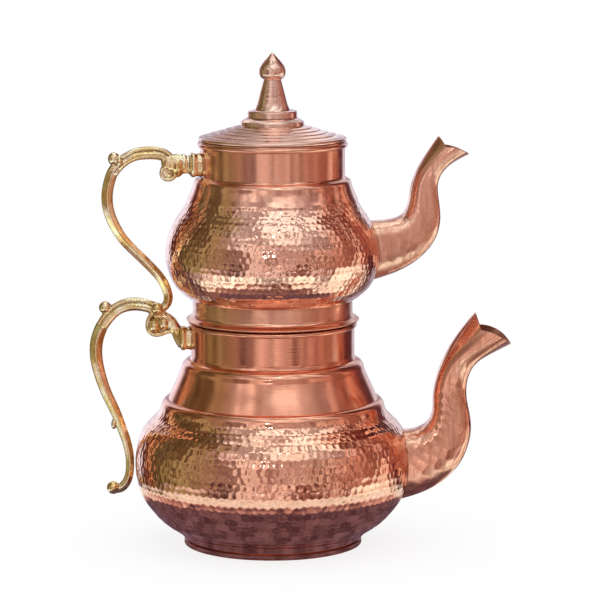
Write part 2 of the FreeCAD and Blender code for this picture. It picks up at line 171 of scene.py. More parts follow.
def arc(centre, r, start, end, steps):
    """Points of an arc between two angles in degrees."""
    angle = np.radians(np.linspace(start, end, steps))
    return np.stack([centre[0] + r * np.cos(angle), centre[1] + r * np.sin(angle)], axis=1)


def round_angles(count):
    """Angles evenly round a circle."""
    return 2 * np.pi * np.arange(count) / count


def ramp_between(low, high, x):
    """0 below low, 1 above high, smooth between."""
    t = np.clip((x - low) / (high - low), 0, 1)
    return t * t * (3 - 2 * t)


# ---------------- meshes
def between(a, n, b, m):
    """Polygons between a ring of n points from index a and one of m from index b. One count divides the
    other, and a count of 1 is a pole."""
    if n < m:
        return [polygon[::-1] for polygon in between(b, m, a, n)]
    i = np.arange(n)
    j = (i + 1) % n
    if n == m:
        return np.stack([a + i, a + j, b + j, b + i], axis=1).tolist()
    if m == 1:
        return np.stack([a + i, a + j, np.full(n, b)], axis=1).tolist()
    step = n // m
    return [[a + (k * step + s) % n for s in range(step + 1)] + [b + (k + 1) % m, b + k] for k in range(m)]


def skin(rings, closed=False):
    """Points and polygons of a surface over rings of points; closed also joins the last ring to the first."""
    starts = np.cumsum([0] + [len(r) for r in rings])
    following = list(range(1, len(rings))) + ([0] if closed else [])
    polygons = []
    for number, after in enumerate(following):
        polygons += between(starts[number], len(rings[number]), starts[after], len(rings[after]))
    return np.concatenate(rings), polygons


def level_ring(r, z, count, out=(1.0, 0.0), lift=0.0):
    """A ring round the Z axis. lift moves its points along the outline's outward direction."""
    if r < 1e-6:
        return np.array([[0.0, 0.0, z]])
    angle = round_angles(count)
    radius = r + out[0] * lift
    height = z + out[1] * lift
    return np.stack([radius * np.cos(angle), radius * np.sin(angle), np.broadcast_to(height, count)], axis=1)


def add_object(name, data):
    """A new object in the scene."""
    made = bpy.data.objects.new(name, data)
    scene.collection.objects.link(made)
    return made


def make_mesh(name, points, polygons, turn=0.0, sharp=38.0):
    """An object from points in millimetres, turned about Z. Edges over sharp degrees stay sharp."""
    c, s = math.cos(math.radians(turn)), math.sin(math.radians(turn))
    points = points @ np.array([[c, s, 0], [-s, c, 0], [0, 0, 1]])
    mesh = bpy.data.meshes.new(name)
    mesh.from_pydata((points * MM).tolist(), [], polygons)
    mesh.shade_smooth()
    mesh.set_sharp_from_angle(angle=math.radians(sharp))
    return add_object(name, mesh)


def store(piece, name, values):
    """Keeps one number per point with the mesh, for its material."""
    attribute = piece.data.attributes.new(name, "FLOAT", "POINT")
    attribute.data.foreach_set("value", np.asarray(values, np.float32))


def with_modifier(piece, kind, **settings):
    """Applies one modifier to the piece's mesh."""
    modifier = piece.modifiers.new("work", kind)
    for key, value in settings.items():
        setattr(modifier, key, value)
    bpy.context.view_layer.update()
    evaluated = piece.evaluated_get(bpy.context.evaluated_depsgraph_get())
    mesh = bpy.data.meshes.new_from_object(evaluated)
    piece.modifiers.clear()
    piece.data = mesh
    return piece


def cut_away(piece, points, polygons, turn=0.0):
    """Takes closed shapes away from the piece."""
    tool = make_mesh("cutter", points, polygons, turn)
    with_modifier(piece, "BOOLEAN", operation="DIFFERENCE", solver="MANIFOLD", object=tool)
    bpy.data.objects.remove(tool)


def merged(shapes):
    """Points and polygons of several closed shapes as one list."""
    points, polygons, start = [], [], 0
    for some_points, some_polygons in shapes:
        points.append(some_points)
        polygons += [[index + start for index in polygon] for polygon in some_polygons]
        start += len(some_points)
    return np.concatenate(points), polygons


def coat(piece, polygons, inside_from, outside, inside):
    """Gives the inside's material to polygons whose points all come from index inside_from on."""
    piece.data.materials.append(outside)
    piece.data.materials.append(inside)
    is_inside = [min(polygon) >= inside_from for polygon in polygons]
    piece.data.polygons.foreach_set("material_index", np.array(is_inside, np.int32))


# ---------------- hammer marks
def hammer_marks(u, v, columns, rows, width, height, hammer_r, seed):
    """Height over the bottom of the nearest mark: a round hollow for each, and a crest where two meet. u
    counts marks around and v rows of them. Every second row is shifted, and no two strokes are alike."""
    random = np.random.default_rng(seed)
    shift = random.normal(0, stroke_wander, (rows + 3, columns, 2))
    sunk = random.normal(0, stroke_depth_spread, (rows + 3, columns))
    lowest = np.full(np.broadcast(u, v).shape, np.inf)
    row_here = np.floor(v).astype(int)
    for row in (row_here - 1, row_here, row_here + 1):
        half = 0.5 * (row % 2)
        column_here = np.floor(u - half).astype(int)
        for column in (column_here - 1, column_here, column_here + 1):
            at = (np.clip(row + 1, 0, rows + 2), column % columns)
            across = (u - half - column - 0.5 - shift[at][..., 0]) * width
            up = (v - row - 0.5 - shift[at][..., 1]) * height
            lowest = np.minimum(lowest, (across ** 2 + up ** 2) / (2 * hammer_r) + sunk[at])
    return lowest


# ---------------- pots
# Each stretch of wall from the foot up: how it is worked, and its outline as (radius, height).
kettle_outline = [
    ("plain", [(62.1, 0.85), (62.1, 3.5)]),
    ("hammered", [(62.1, 3.5), (65.8, 7.9), (71.5, 12.1), (77.6, 16.3), (85.8, 24.8), (93.2, 36), (97.3, 56),
                  (94.9, 74), (89.3, 84.6), (80.4, 94.4), (78.9, 98.6)]),
    ("plain", [(78.9, 98.6), (77.9, 101.2), (76.3, 103.0), (73.6, 103.9)]),
    ("plain", [(73.6, 103.9), (72.9, 105.6), (70.6, 111), (67.2, 118.4), (64.5, 125)]),
    ("plain", [(64.5, 125), (63.8, 127.9), (61.8, 130.4), (58.4, 132.2)]),
    ("plain", [(58.4, 132.2), (57.6, 134.2)]),
]
teapot_outline = [
    ("plain", [(teapot_foot_r, 164.4), (teapot_foot_r, 174.4)]),
    ("plain", [(teapot_foot_r, 174.4), (57.6, 174.4)]),
    ("hammered", [(57.6, 174.4), (61.8, 177.4), (66.6, 181.6), (71.8, 189.8), (75.3, 204.5), (74.4, 214.6),
                  (71.2, 224.2), (66.8, 232.4), (62.4, 238.8), (59.5, 245.2)]),
    ("planished", [(59.5, 245.2), (57.0, 251.0), (55.3, 256.2)]),
    ("plain", [(55.3, 256.2), (54.4, 258.4), (51.8, 259.8)]),
    ("plain", [(51.8, 259.8), (50.7, 261.2)]),
]


def beaten_rings(kind, points, marks, rows, hammer_r, seed):
    """Rings of a beaten stretch of wall above its first point, each as (ring, relief, share worked).
    Planished wall has two rows of flatter, fainter marks."""
    middle_crest = (2 * np.pi * middle_r / marks) ** 2 / (8 * hammer_r)
    if kind == "hammered":
        line = even_points(points, rows * steps_up_mark + 1)
        depth, worked = 1.0, 1.0
    else:
        line = spaced_points(points, planished_step)
        rows, hammer_r, depth, worked = 2, 2.2 * hammer_r, 0.35, 0.4
    out = -left_of(line)
    length = distances(line)
    row_height = length[-1] / rows
    around = np.arange(marks * steps_per_mark)
    foot_fade = ramp_between(1.0, 5.0, length)
    top_fade = ramp_between(length[-1] - 1.6, length[-1], length)
    depths = foot_fade * (1 - top_fade) * depth
    made = []
    for place in range(1, len(line)):
        r, z = line[place]
        v = np.full(len(around), length[place] / row_height)
        crest = hammer_marks(around / steps_per_mark, v, marks, rows, 2 * np.pi * r / marks, row_height,
                             hammer_r, seed + rows)
        ring = level_ring(r, z, len(around), out[place], depths[place] * (crest - middle_crest))
        made.append((ring, crest / (2 * middle_crest), worked))
    return made


def pot_rings(outline, neck_r, bead_middle, bead_z, marks, rows, hammer_r, seed):
    """Rings of a pot from its foot up the outside, over the rolled rim and down the inside, each as (ring,
    relief, share worked), and the number of outside ones."""
    made = []

    def add_plain(line, count):
        made.extend((level_ring(r, z, count), 0.5, 0.0) for r, z in line)

    plain_count = marks * steps_per_mark // 3
    for kind, points in outline:
        if kind == "plain":
            line = spaced_points(points, plain_step)
            add_plain(line[1 if made else 0:], plain_count)
        else:
            made += beaten_rings(kind, points, marks, rows, hammer_r, seed)

    neck_top = bead_z - math.sqrt(bead_r ** 2 - (neck_r - bead_middle) ** 2)
    neck_line = [outline[-1][1][-1], (neck_r, neck_top)]
    start = math.degrees(math.atan2(neck_top - bead_z, neck_r - bead_middle))
    end = 360 - math.degrees(math.acos((neck_r - wall - bead_middle) / bead_r))
    bead = arc((bead_middle, bead_z), bead_r, start, end, 22)
    add_plain(joined([spaced_points(neck_line, plain_step), bead])[1:], plain_count)
    outside_rings = len(made)
    stretches = [points for kind, points in outline] + [neck_line]
    outer = joined([spaced_points(points, lining_step) for points in stretches])
    lining = (outer + left_of(outer) * wall)[::-1]
    add_plain(lining[1:], marks * steps_per_mark // 6)
    return made, outside_rings


def make_pot(name, turn, material, **shape):
    """A hammered pot, tinned inside."""
    made, outside_rings = pot_rings(**shape)
    rings, relief, worked = zip(*made)
    points, polygons = skin(rings, closed=True)
    piece = make_mesh(name, points, polygons, turn)
    for attribute, values in (("relief", relief), ("worked", worked)):
        per_point = [np.broadcast_to(value, len(ring)) for value, ring in zip(values, rings)]
        store(piece, attribute, np.concatenate(per_point))
    coat(piece, polygons, sum(len(ring) for ring in rings[:outside_rings]), material, tin)
    return piece


def radius_at(outline, z):
    """Outer radius of a pot at heights above its foot."""
    line = joined([spaced_points(points, 1.0) for kind, points in outline])
    return np.interp(z, line[:, 1], line[:, 0])


# ---------------- spouts
# Sides of many-sided outlines: direction in degrees, and distance from the middle.
square_faces = [(0, 1), (90, 1), (180, 1), (270, 1)]
beak_faces = [(34, 0.98), (-34, 0.98), (98, 0.97), (-98, 0.97), (148, 0.84), (-148, 0.84)]
bevel_faces = [(0, 0.95), (46, 0.82), (134, 0.82), (180, 0.95), (226, 0.82), (314, 0.82)]


def facets(angle, faces, softness):
    """Distance from the middle to a many-sided outline with soft edges."""
    total = sum((np.maximum(np.cos(angle - math.radians(way)), 0) / off) ** softness for way, off in faces)
    return total ** (-1 / softness)


def fitted(angle, r):
    """Offsets (along, across) of an outline, scaled to reach 1 in front, behind and at the sides."""
    along, across = r * np.cos(angle), r * np.sin(angle)
    along = np.where(along > 0, along / along.max(), along / -along.min())
    return along, across / across.max()


def spout_surface(sections, angle, beak_from):
    """A function of the place along a spout giving its points at the angles, 0 in front and 180 behind. From
    the share beak_from of its length on, a squarish tube turns into a beak with a keel behind."""
    table = np.array([(*back, *front, half) for back, front, half in sections], float)
    middle = (table[:, :2] + table[:, 2:4]) / 2
    at = distances(middle)
    section = curve_through(table, at)
    tube = fitted(angle, facets(angle, square_faces, 2.9))
    beak = fitted(angle, facets(angle, beak_faces, 5.5))

    def surface(places):
        found = section(places)
        back, front, half = found[..., 0:2], found[..., 2:4], found[..., 4]
        share = ramp_between(beak_from * at[-1], 0.93 * at[-1], places)
        along = tube[0] * (1 - share) + beak[0] * share
        across = tube[1] * (1 - share) + beak[1] * share
        flat = (back + front) / 2 + (front - back) / 2 * along[..., None]
        return np.stack([flat[..., 0], half * across, flat[..., 1]], axis=-1)
    return surface, at[-1]


def first_crossing(places, value):
    """For each column of value, the first place where it rises through zero."""
    above = value > 0
    k = np.maximum(np.argmax(above, axis=0), 1)
    column = np.arange(value.shape[1])
    low, high = value[k - 1, column], value[k, column]
    return places[k - 1] + (places[k] - places[k - 1]) * low / (low - high)


def rim_height(x, mouth):
    """Height of a swallow-tail mouth's rim over x: a steep fall from the back tip to the notch, then an arc
    over the crest to the front tip. It runs on a little past both tips."""
    back, notch, crest, front = (np.array(p, float) for p in mouth)
    fall = (back - notch) / (notch[0] - back[0])
    bow = curve_through([notch, crest, front], [0, 1, 2])(np.linspace(0, 2, 20))
    beyond = front + (bow[-1] - bow[-2]) / (bow[-1] - bow[-2])[0] * 5
    rim = np.concatenate([[back + fall * 4], [back], bow, [beyond]])
    return np.interp(x, rim[:, 0], rim[:, 1])


def surface_normals(grid):
    """Outward unit normals of a grid of points (along, around)."""
    around = np.roll(grid, -1, axis=1) - np.roll(grid, 1, axis=1)
    normal = np.cross(around, np.gradient(grid, axis=0))
    return normal / np.linalg.norm(normal, axis=2)[..., None]


def spout_ends(surface, length, columns, mouth, pot_outline):
    """Where each line along a spout leaves the pot's wall, and where it meets the mouth's rim."""
    places = np.linspace(0, length, 500)
    trial = surface(places[:, None] * np.ones(columns))
    outside_pot = np.hypot(trial[..., 0], trial[..., 1]) - radius_at(pot_outline, trial[..., 2]) - solder_gap
    over_rim = np.where(places[:, None] > length * 0.5, trial[..., 2] - rim_height(trial[..., 0], mouth), -1)
    return first_crossing(places, outside_pot), first_crossing(places, over_rim)


def make_spout(name, turn, sections, mouth, pot_outline, beak_from, marks, mark_length, strength, hammered_to,
               seed, material):
    """A sheet-metal spout, trimmed to the pot at its root, open at both ends, and hammered on its sides up
    to the place hammered_to. Returns it with its bore's shape."""
    columns = marks * spout_steps_per_mark
    angle = round_angles(columns)
    surface, length = spout_surface(sections, angle, beak_from)
    start, end = spout_ends(surface, length, columns, mouth, pot_outline)
    rows = int(length)
    share = np.linspace(0, 1, rows)[:, None]
    place = start * (1 - share) + end * share
    smooth = surface(place)
    normal = surface_normals(smooth)
    u = np.arange(columns)[None, :] / spout_steps_per_mark * np.ones((rows, 1))
    crest = hammer_marks(u, place / mark_length, marks, int(length / mark_length), 10.0, mark_length,
                         spout_hammer_r, seed)
    on_sides = ramp_between(0.35, 0.65, np.abs(np.sin(angle)))
    here = on_sides * (1 - ramp_between(hammered_to - spout_hammer_fade, hammered_to, place))
    here = here * ramp_between(0.0, 0.02, share) * strength
    outer = smooth + normal * (here * (np.minimum(crest, spout_crest_cap) - spout_crest_mean))[..., None]
    inner = smooth - normal * wall
    lip = (outer[-1] + inner[-1]) / 2 + (smooth[-1] - smooth[-2]) * 0.25
    points, polygons = skin(list(outer) + [lip] + list(inner[::-2]), closed=True)
    piece = make_mesh(name, points, polygons, turn)
    relief = np.full(len(points), 0.5)
    relief[:rows * columns] = (0.5 + here * (crest / spout_crest_high - 0.5)).ravel()
    store(piece, "relief", relief)
    store(piece, "worked", np.ones(len(points)))
    coat(piece, polygons, (rows + 1) * columns, material, dull_copper)

    reach = np.linspace(0, 1, 12)[:, None]
    bore = surface((start - bore_behind) * (1 - reach) + (start + bore_ahead) * reach)
    bore -= surface_normals(bore) * wall
    ends = [bore[0].mean(axis=0)[None, :], bore[-1].mean(axis=0)[None, :]]
    return piece, skin([ends[0]] + list(bore) + [ends[1]])


# ---------------- cast handles
def rod(points, halves, side_share=1.0, faces=square_faces, softness=3.0, round_ends=True):
    """A closed rod along a curve in the XZ plane. halves are its half depths in that plane at each point, and
    side_share its half width across the plane over that."""
    points = np.array(points, float)
    at = distances(points)
    shape = curve_through(np.column_stack([points, np.broadcast_to(halves, len(points))]), at)
    places = np.linspace(0, at[-1], max(3, int(at[-1] / rod_step)))
    line = shape(places)
    way = np.gradient(line[:, :2], axis=0)
    way /= np.linalg.norm(way, axis=1)[:, None]
    angle = round_angles(48)
    section = fitted(angle, facets(angle, faces, softness))

    def ring_at(middle, direction, half):
        along, across = half * section[0], half * side_share * section[1]
        return np.stack([middle[0] - direction[1] * along, -across, middle[1] + direction[0] * along], axis=1)

    rings = [ring_at(line[k, :2], way[k], line[k, 2]) for k in range(len(line))]
    for k, sign in ((0, -1), (-1, 1)):
        caps = []
        middle, half = line[k, :2], line[k, 2]
        for tilt in np.radians((25, 50, 70)) if round_ends else ():
            move = half * math.sin(tilt) * sign
            caps.append(ring_at(middle + way[k] * move, way[k], half * math.cos(tilt)))
        tip = middle + way[k] * (half * sign if round_ends else 0)
        caps.append(np.array([[tip[0], 0, tip[1]]]))
        rings = caps[::-1] + rings if sign < 0 else rings + caps
    return skin(rings)


def banded(points, halves):
    """A strip in two rolls: a thin one along its outer edge and a thick one inside."""
    points, halves = np.array(points, float), np.array(halves, float)
    inward = left_of(points) * halves[:, None]
    return [rod(points + inward * 0.3, halves * 0.7, 1.2, softness=2.4),
            rod(points - inward * 0.66, halves * 0.36, 1.9, softness=2.4)]


def ball(x, z, half_x, half_y, half_z):
    """A closed round lump in the middle plane."""
    angle = round_angles(24)
    rings = [np.array([[0, 0, -1.0]])]
    for tilt in np.radians(np.linspace(-75, 75, 11)):
        rings.append(np.stack([math.cos(tilt) * np.cos(angle), math.cos(tilt) * np.sin(angle),
                               np.full(24, math.sin(tilt))], axis=1))
    rings.append(np.array([[0, 0, 1.0]]))
    points, polygons = skin(rings)
    return points * np.array([half_x, half_y, half_z]) + np.array([x, 0, z]), polygons


def coil(x, z, r, from_angle, to_angle, shrink, half, side_share):
    """A strip rolled into a spiral in the XZ plane."""
    share = np.linspace(0, 1, 16)
    angle = np.radians(from_angle + (to_angle - from_angle) * share)
    radius = r * (1 - shrink * share)
    line = np.stack([x + radius * np.cos(angle), z + radius * np.sin(angle)], axis=1)
    return rod(line, half * (1 - 0.35 * share), side_share)


def make_handle(name, turn, shapes):
    """One casting from overlapping shapes: fused, then softened as sand casting leaves it."""
    points, polygons = merged(shapes)
    piece = make_mesh(name, points, polygons, turn)
    with_modifier(piece, "REMESH", mode="VOXEL", voxel_size=casting_voxel * MM, use_smooth_shade=True)
    with_modifier(piece, "SMOOTH", factor=0.5, iterations=3)
    piece.data.shade_smooth()
    piece.data.materials.append(cast_brass)
    return piece


# Middle lines of the handles as (x, z), and half depths of the limbs at their points.
kettle_arch = [(-77.0, 159.4), (-80.0, 164.2), (-84.4, 167.4), (-91.2, 169.6), (-101.4, 169.7),
               (-108.6, 167.2), (-115.4, 161.4), (-119.6, 155.4)]
kettle_limb = [
    (-113.6, 163.0), (-118.6, 157.2), (-122.4, 149.6), (-124.5, 140.8), (-124.4, 131.3), (-121.8, 119.1),
    (-117.3, 106.1), (-111.7, 93.9), (-107.5, 83.0), (-103.6, 71.5), (-101.6, 61.4), (-101.5, 52.0),
    (-103.6, 43.2), (-108.0, 38.4), (-113.0, 38.0),
]
kettle_limb_half = [4.2, 4.5, 4.6, 4.6, 4.5, 4.2, 3.9, 3.7, 3.5, 3.3, 3.1, 3.0, 3.2, 3.4, 3.4]
teapot_arch = [(-70.8, 268.2), (-72.2, 272.6), (-75.6, 276.0), (-80.6, 277.8), (-87.4, 278.2), (-96.0, 277.2),
               (-103.0, 274.2), (-108.4, 269.6), (-111.6, 265.4)]
teapot_limb = [
    (-106.2, 271.8), (-111.0, 266.8), (-114.6, 258.0), (-116.1, 248.4), (-115.1, 238.5), (-111.4, 228.7),
    (-104.6, 217.6), (-95.0, 207.4), (-85.8, 198.1), (-78.5, 189.3), (-74.6, 181.0), (-74.2, 173.8),
    (-77.6, 169.4), (-81.6, 168.8),
]
teapot_limb_half = [3.9, 4.1, 4.1, 4.1, 4.0, 3.8, 3.6, 3.5, 3.4, 3.4, 3.3, 3.2, 3.0, 3.0]


def boss(neck_r, z, flange_x):
    """The round foot of a handle on the neck, with a flange at its outer end."""
    line = [(-neck_r + 0.9, z), (-neck_r - 0.6, z), (flange_x + 1.9, z), (flange_x + 1.2, z), (flange_x, z),
            (flange_x - 1.4, z), (flange_x - 2.4, z)]
    return rod(line, [8.3, 8.2, 8.0, 8.4, 8.7, 8.2, 6.6], round_ends=False)


def kettle_handle_shapes():
    """Sweeping limb, banded arch, leaf cup rolled under at its end, stem and boss."""
    stem = [(-62.6, 146.0), (-65.2, 147.9), (-68.2, 152.0), (-71.4, 156.2), (-75.5, 159.6), (-80.0, 162.0)]
    cup_edge = [(-84.4, 164.0), (-87.2, 159.8), (-88.1, 155.2), (-86.6, 151.0), (-82.8, 148.8),
                (-78.2, 149.2), (-74.2, 150.5), (-70.4, 151.0)]
    return banded(kettle_arch, [4.2, 4.4, 4.5, 4.6, 4.6, 4.6, 4.6, 4.4]) + [
        rod(kettle_limb, kettle_limb_half, 0.9, bevel_faces, 9.0),
        rod(stem, [7.6, 5.6, 4.1, 4.7, 4.8, 4.0], 0.95),
        boss(kettle_neck_r, kettle_boss_z, -63.0),
        rod(cup_edge, [1.4, 1.6, 1.7, 1.8, 1.8, 1.7, 1.5, 1.3], 2.3),
        ball(-79.6, 155.8, 8.4, 4.4, 7.4),
        ball(-83.2, 154.6, 5.2, 6.8, 5.6),
        ball(-76.6, 157.0, 4.4, 6.4, 6.2),
        ball(-80.4, 162.6, 4.6, 5.6, 3.8),
        ball(-118.0, 167.8, 4.5, 4.725, 4.5),
        ball(-113.4, 38.4, 4.7, 4.935, 4.7),
        ball(-112.6, 84.2, 1.98, 2.86, 3.74),
    ]


def teapot_handle_shapes():
    """Sweeping limb, banded arch ending in a scroll, ribbed stem and boss."""
    stem = [(-55.5, 269.4), (-59.6, 269.6), (-64.5, 270.0), (-69.0, 270.4), (-73.0, 271.0)]
    scroll_x, scroll_z = -74.0, 264.6
    return banded(teapot_arch, [3.6, 4.1, 4.4, 4.5, 4.5, 4.3, 4.2, 4.1, 4.0]) + [
        rod(teapot_limb, teapot_limb_half, 0.9, bevel_faces, 9.0),
        rod(stem, [7.8, 6.2, 6.4, 6.6, 5.4], 0.9),
        boss(teapot_neck_r, teapot_boss_z, -56.2),
        coil(scroll_x, scroll_z, r=6.2, from_angle=80, to_angle=-290, shrink=0.42, half=1.9, side_share=2.4),
        ball(scroll_x, scroll_z, 5.8, 3.828, 5.8),
        ball(-67.0, 269.2, 5.4, 7.0, 8.4),
        ball(-62.6, 270.4, 3.6, 6.6, 7.2),
        ball(-111.2, 274.6, 4.3, 4.515, 4.73),
        ball(-107.6, 272.4, 2.4, 5.4, 5.0),
        ball(-81.8, 168.9, 4.4, 4.62, 4.4),
    ]


# ---------------- turned pieces
def turned_piece(name, line, columns, material, closed=True, grooves=0.0, seed=0, sharp=38.0):
    """A solid of revolution. grooves is the depth of its turning marks."""
    line = np.array(line, float)
    lift = np.zeros(len(line))
    if grooves:
        lift = np.random.default_rng(seed).normal(0, grooves, len(line))
        lift[[0, -1]] = 0
    out = -left_of(line)
    rings = [level_ring(r, z, columns, out[k], lift[k] if r > 1 else 0.0) for k, (r, z) in enumerate(line)]
    points, polygons = skin(rings, closed=closed)
    piece = make_mesh(name, points, polygons, sharp=sharp)
    piece.data.materials.append(material)
    return piece


def collar_line():
    """Section of the seat ring: band, flare, lip, and the skirt inside the kettle's mouth."""
    sheet = 0.9
    collar_low, collar_high = heights("teapot_collar")
    band_in = teapot_foot_r + solder_gap
    band_out = band_in + sheet
    flare_top = (band_out, 165.2)
    flare = [flare_top, (57.0, 163.0), (58.6, 161.6), (60.6, 160.6)]
    lip = arc((60.4, 160.05), 0.5, 70, -70, 7)
    seat_z = kettle_top + solder_gap
    skirt_out = kettle_bead_middle - bead_r - 0.25
    skirt_in = skirt_out - sheet
    inside = [(band_in, 163.2), (skirt_in, seat_z + 1.2), (skirt_in, collar_low), (skirt_out, collar_low),
              (skirt_out, seat_z), (58.6, seat_z)]
    band = rounded([(band_in, collar_high), (band_out, collar_high), flare_top], 0.3)
    return np.concatenate([lip[::-1], spaced_points(flare, 0.8)[::-1][1:], band[::-1][1:], np.array(inside)])


# ---------------- materials
def node(kind, inputs=(), output=0, tree=None, **settings):
    """A shader node with its inputs linked or set, in the given tree or that of its first linked input.
    Returns one of its outputs, or all of them for output=None."""
    values = list(inputs.items() if isinstance(inputs, dict) else enumerate(inputs))
    linked = [value for key, value in values if isinstance(value, bpy.types.NodeSocket)]
    tree = tree or linked[0].id_data
    made = tree.nodes.new("ShaderNode" + kind)
    for key, value in settings.items():
        setattr(made, key, value)
    for key, value in values:
        if isinstance(value, bpy.types.NodeSocket):
            tree.links.new(value, made.inputs[key])
        else:
            made.inputs[key].default_value = value
    return made.outputs if output is None else made.outputs[output]


def calc(operation, *values):
    """A maths node."""
    return node("Math", values, operation=operation)


def plus(a, b):
    return calc("ADD", a, b)


def minus(a, b):
    return calc("SUBTRACT", a, b)


def times(a, b):
    return calc("MULTIPLY", a, b)


def scaled(value, from_low, from_high, to_low=0.0, to_high=1.0):
    """The value mapped from one range to another, smooth and clamped."""
    values = [value, from_low, from_high, to_low, to_high]
    return node("MapRange", values, interpolation_type="SMOOTHSTEP")


def mixed(share, a, b):
    """Two colours mixed."""
    return node("Mix", {0: share, 6: a, 7: b}, output=2, data_type="RGBA")


def tinted(base, tint, value, none_at, full_at, most=1.0):
    """The base colour, tinted by nothing where the value is none_at and by the share most at full_at."""
    return mixed(scaled(value, none_at, full_at, 0.0, most), base, tint)


def colour(r, g, b):
    return (r, g, b, 1.0)


def noise(vector, scale, detail=3.0, rough=0.55):
    """A noise value about 0.5. scale is features per metre."""
    return node("TexNoise", {"Vector": vector, "Scale": scale, "Detail": detail, "Roughness": rough})


def start_material(name):
    """A metal, its shader, and the place of the shaded point."""
    material = bpy.data.materials.new(name)
    material.use_nodes = True
    tree = material.node_tree
    shader = tree.nodes["Principled BSDF"]
    shader.inputs["Metallic"].default_value = 1.0
    return material, shader, node("TexCoord", output=3, tree=tree)


def painted_seam_shade(base, dark, reach, most):
    """The base colour, darkened by painted shade where neighbouring metal closes in within the reach, in
    metres.
    """
    open_share = node("AmbientOcclusion", {"Distance": reach}, output=1, tree=base.id_data, samples=6)
    return tinted(base, dark, open_share, 0.8, 0.3, most)


def finish_material(shader, base, rough, strength, depth, grain):
    """Links colour, roughness and a bump of the grain, whose depth is in metres, to the shader."""
    bump = node("Bump", {"Strength": strength, "Distance": depth, "Height": grain})
    for key, value in (("Base Color", base), ("Roughness", rough), ("Normal", bump)):
        shader.id_data.links.new(value, shader.inputs[key])


def copper(name, roughness, lathe_lines=0.0, pale=0.0, drawn=0.0, reddened=0.0):
    """Warm copper with cloudy tarnish and fine scratches, and painted shade in its seams. With lathe lines it
    is
    turned. Without, it is beaten: bright on the crests between its marks by a painted highlight, and redder
    and brushed where it is left smooth. Drawn copper has upright streaks."""
    material, shader, place = start_material(name)
    tree = material.node_tree
    bright, red, brown = colour(0.94, 0.53, 0.385), colour(0.84, 0.36, 0.235), colour(0.5, 0.22, 0.14)
    pink, crest_highlight, seam_shade = colour(0.93, 0.66, 0.57), colour(0.99, 0.66, 0.5), colour(0.16, 0.05, 0.035)
    cloud = scaled(noise(place, 34.0, 4.0), 0.42, 0.72)
    fine = noise(place, 420.0)
    base = mixed(times(cloud, 0.35), bright, red)
    base = mixed(pale, base, pink)
    base = mixed(reddened, base, red)
    base = tinted(base, brown, fine, 0.5, 0.75, 0.18)
    rough = scaled(noise(place, 120.0, 4.0), 0.3, 0.7, roughness * 0.75, roughness * 1.35)
    grain = times(noise(place, 1600.0, 2.0), 0.35)
    if drawn:
        upright = node("Mapping", {"Vector": place, "Scale": (1, 1, 0.07)})
        streak = noise(upright, 300.0, 4.0, 0.65)
        base = tinted(base, brown, streak, 0.45, 0.68, drawn)
        rough = plus(rough, scaled(streak, 0.4, 0.7, 0.0, 0.12))
        grain = plus(grain, times(noise(upright, 800.0), 0.8))
    x, y, z = node("SeparateXYZ", [place], output=None)
    radius = calc("SQRT", plus(times(x, x), times(y, y)))
    swirl = times(calc("ARCTAN2", y, x), 0.0006)
    lathe = node("CombineXYZ", [radius, swirl, z])
    if lathe_lines:
        grain = plus(grain, times(noise(lathe, 900.0, 4.0, 0.7), lathe_lines))
        rough = plus(rough, scaled(noise(lathe, 260.0), 0.4, 0.8, 0.0, 0.1))
        base = tinted(base, brown, noise(lathe, 420.0), 0.5, 0.8, 0.3)
        shader.inputs["Anisotropic"].default_value = 0.6
    else:
        crest = node("Attribute", output=2, tree=tree, attribute_name="relief")
        worked = node("Attribute", output=2, tree=tree, attribute_name="worked")
        smooth = minus(1.0, worked)
        # painted highlight along the crests between the hammer marks
        base = tinted(base, crest_highlight, crest, 0.9, 1.7, 0.3)
        base = mixed(times(smooth, 0.7 - pale), base, red)
        rough = plus(rough, times(smooth, 0.05))
        brushed = times(noise(lathe, 700.0, 4.0, 0.7), times(smooth, 2.5))
        grain = plus(grain, brushed)
        tree.links.new(times(smooth, 0.7), shader.inputs["Anisotropic"])
    tangent = node("Tangent", tree=tree, direction_type="RADIAL", axis="Z")
    tree.links.new(tangent, shader.inputs["Tangent"])
    # painted shade in the seams and gaps between pieces
    base = painted_seam_shade(base, seam_shade, reach=0.003, most=0.85)
    finish_material(shader, base, rough, 0.35, 0.00004, grain)
    return material


def brass():
    """Cast brass: pale gold with a painted highlight on its edges, darker in its hollows from patina and
    painted shade, with the grain of the sand mould.
    """
    material, shader, place = start_material("cast brass")
    gold, pale, dark = colour(0.8, 0.57, 0.24), colour(1.0, 0.9, 0.67), colour(0.14, 0.08, 0.03)
    edge = node("NewGeometry", output=7, tree=material.node_tree)
    base = tinted(gold, pale, noise(place, 90.0, 4.0), 0.35, 0.7)
    base = tinted(base, dark, edge, 0.497, 0.465, 0.85)
    # paler on the convex edges: a painted highlight
    base = tinted(base, pale, edge, 0.51, 0.56, 0.6)
    pits = noise(place, 1100.0, 4.0, 0.65)
    base = tinted(base, dark, pits, 0.56, 0.72, 0.3)
    rough = scaled(noise(place, 300.0), 0.3, 0.7, 0.06, 0.2)
    lumps = plus(pits, times(noise(place, 330.0, 2.0), 2.0))
    # painted shade in the creases of the casting
    base = painted_seam_shade(base, dark, reach=0.0025, most=0.8)
    finish_material(shader, base, rough, 0.5, 0.00012, lumps)
    return material


def plain_metal(name, light, shade, roughness, streak):
    """Tin lining, steel or unpolished copper, with wiped streaks. streak under 1 draws them out upright."""
    material, shader, place = start_material(name)
    stretched = node("Mapping", {"Vector": place, "Scale": (1, 1, streak)})
    base = tinted(light, shade, noise(stretched, 60.0, 5.0, 0.6), 0.35, 0.7)
    rough = scaled(noise(place, 240.0), 0.3, 0.7, roughness * 0.8, roughness * 1.3)
    finish_material(shader, base, rough, 0.3, 0.00006, noise(stretched, 900.0))
    return material


